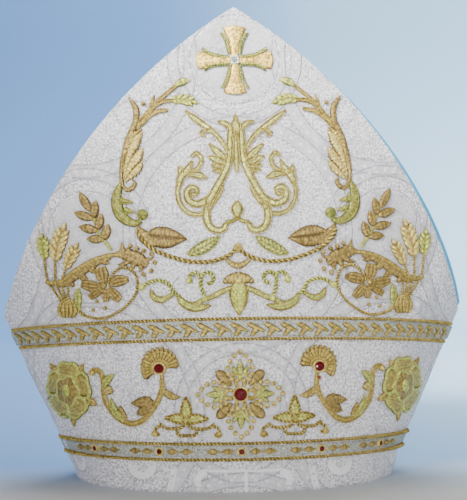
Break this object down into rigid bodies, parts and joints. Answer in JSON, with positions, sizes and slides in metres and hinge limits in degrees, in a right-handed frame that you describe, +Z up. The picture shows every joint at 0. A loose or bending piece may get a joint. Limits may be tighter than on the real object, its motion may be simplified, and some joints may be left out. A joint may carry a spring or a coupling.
{
  "type": "bishop mitre",
  "caption": "Folding white liturgical headdress with two peaked stiff horns, a blue lining between them, corded bands round the head and raised gold and green embroidery with red stones.",
  "frame": {"origin": "middle of the rim's plane, where the mitre rests: bottom centre of its bounding box", "axes": "+Z up, -Y the way the front horn faces, +X along the width, so the mitre is the same on both sides of X = 0"},
  "size_m": [0.3058, 0.1854, 0.305],
  "materials": {
    "blue_lining": "satin lining",
    "brown_gold_thread": "brown-gold silk and metallic thread",
    "clear_glass": "faceted clear glass stone",
    "gold_thread": "metallic gold thread",
    "pale_gold_thread": "pale metallic gold thread",
    "pale_green_thread": "pale green silk and metallic thread",
    "red_glass": "faceted deep red glass stone",
    "sage_band": "pale green ground of the bands",
    "white_damask": "silk damask, satin figure on a matt ground"
  },
  "bodies": {
    "root": {"back_lower_band": "sage_band", "back_lower_cord_bottom": "gold_thread", "back_lower_cord_top": "gold_thread", "back_panel": "white_damask", "back_upper_band": "sage_band", "back_upper_cord_bottom": "gold_thread", "back_upper_cord_top": "gold_thread", "band_stone_1": "red_glass", "band_stone_2": "red_glass", "band_stone_3": "red_glass", "band_stone_4": "red_glass", "band_stone_5": "red_glass", "brown_leaf_left": "brown_gold_thread", "brown_leaf_right": "brown_gold_thread", "carnation_left": "gold_thread", "carnation_right": "gold_thread", "carnation_stone_left": "red_glass", "carnation_stone_right": "red_glass", "centre_ornament": "pale_green_thread", "centre_stone": "red_glass", "crescent_leaf_left": "pale_green_thread", "crescent_leaf_right": "pale_green_thread", "cross_stone": "clear_glass", "fold_lining": "blue_lining", "front_lower_band": "sage_band", "front_lower_cord_bottom": "gold_thread", "front_lower_cord_top": "gold_thread", "front_panel": "white_damask", "front_upper_band": "sage_band", "front_upper_cord_bottom": "gold_thread", "front_upper_cord_top": "gold_thread", "garland": "gold_thread", "lace_leaf_left": "pale_green_thread", "lace_leaf_right": "pale_green_thread", "leaf_spray_left": "brown_gold_thread", "leaf_spray_right": "brown_gold_thread", "palmette": "pale_green_thread", "quatrefoil": "pale_gold_thread", "rose_left": "pale_green_thread", "rose_right": "pale_green_thread", "scroll_branch_left": "brown_gold_thread", "scroll_branch_right": "brown_gold_thread", "spiral_flower_left": "gold_thread", "spiral_flower_right": "gold_thread", "top_cross": "gold_thread", "trefoil_left": "gold_thread", "trefoil_right": "gold_thread", "wheat_sheaf_left": "gold_thread", "wheat_sheaf_right": "gold_thread"}
  },
  "joints": []
}
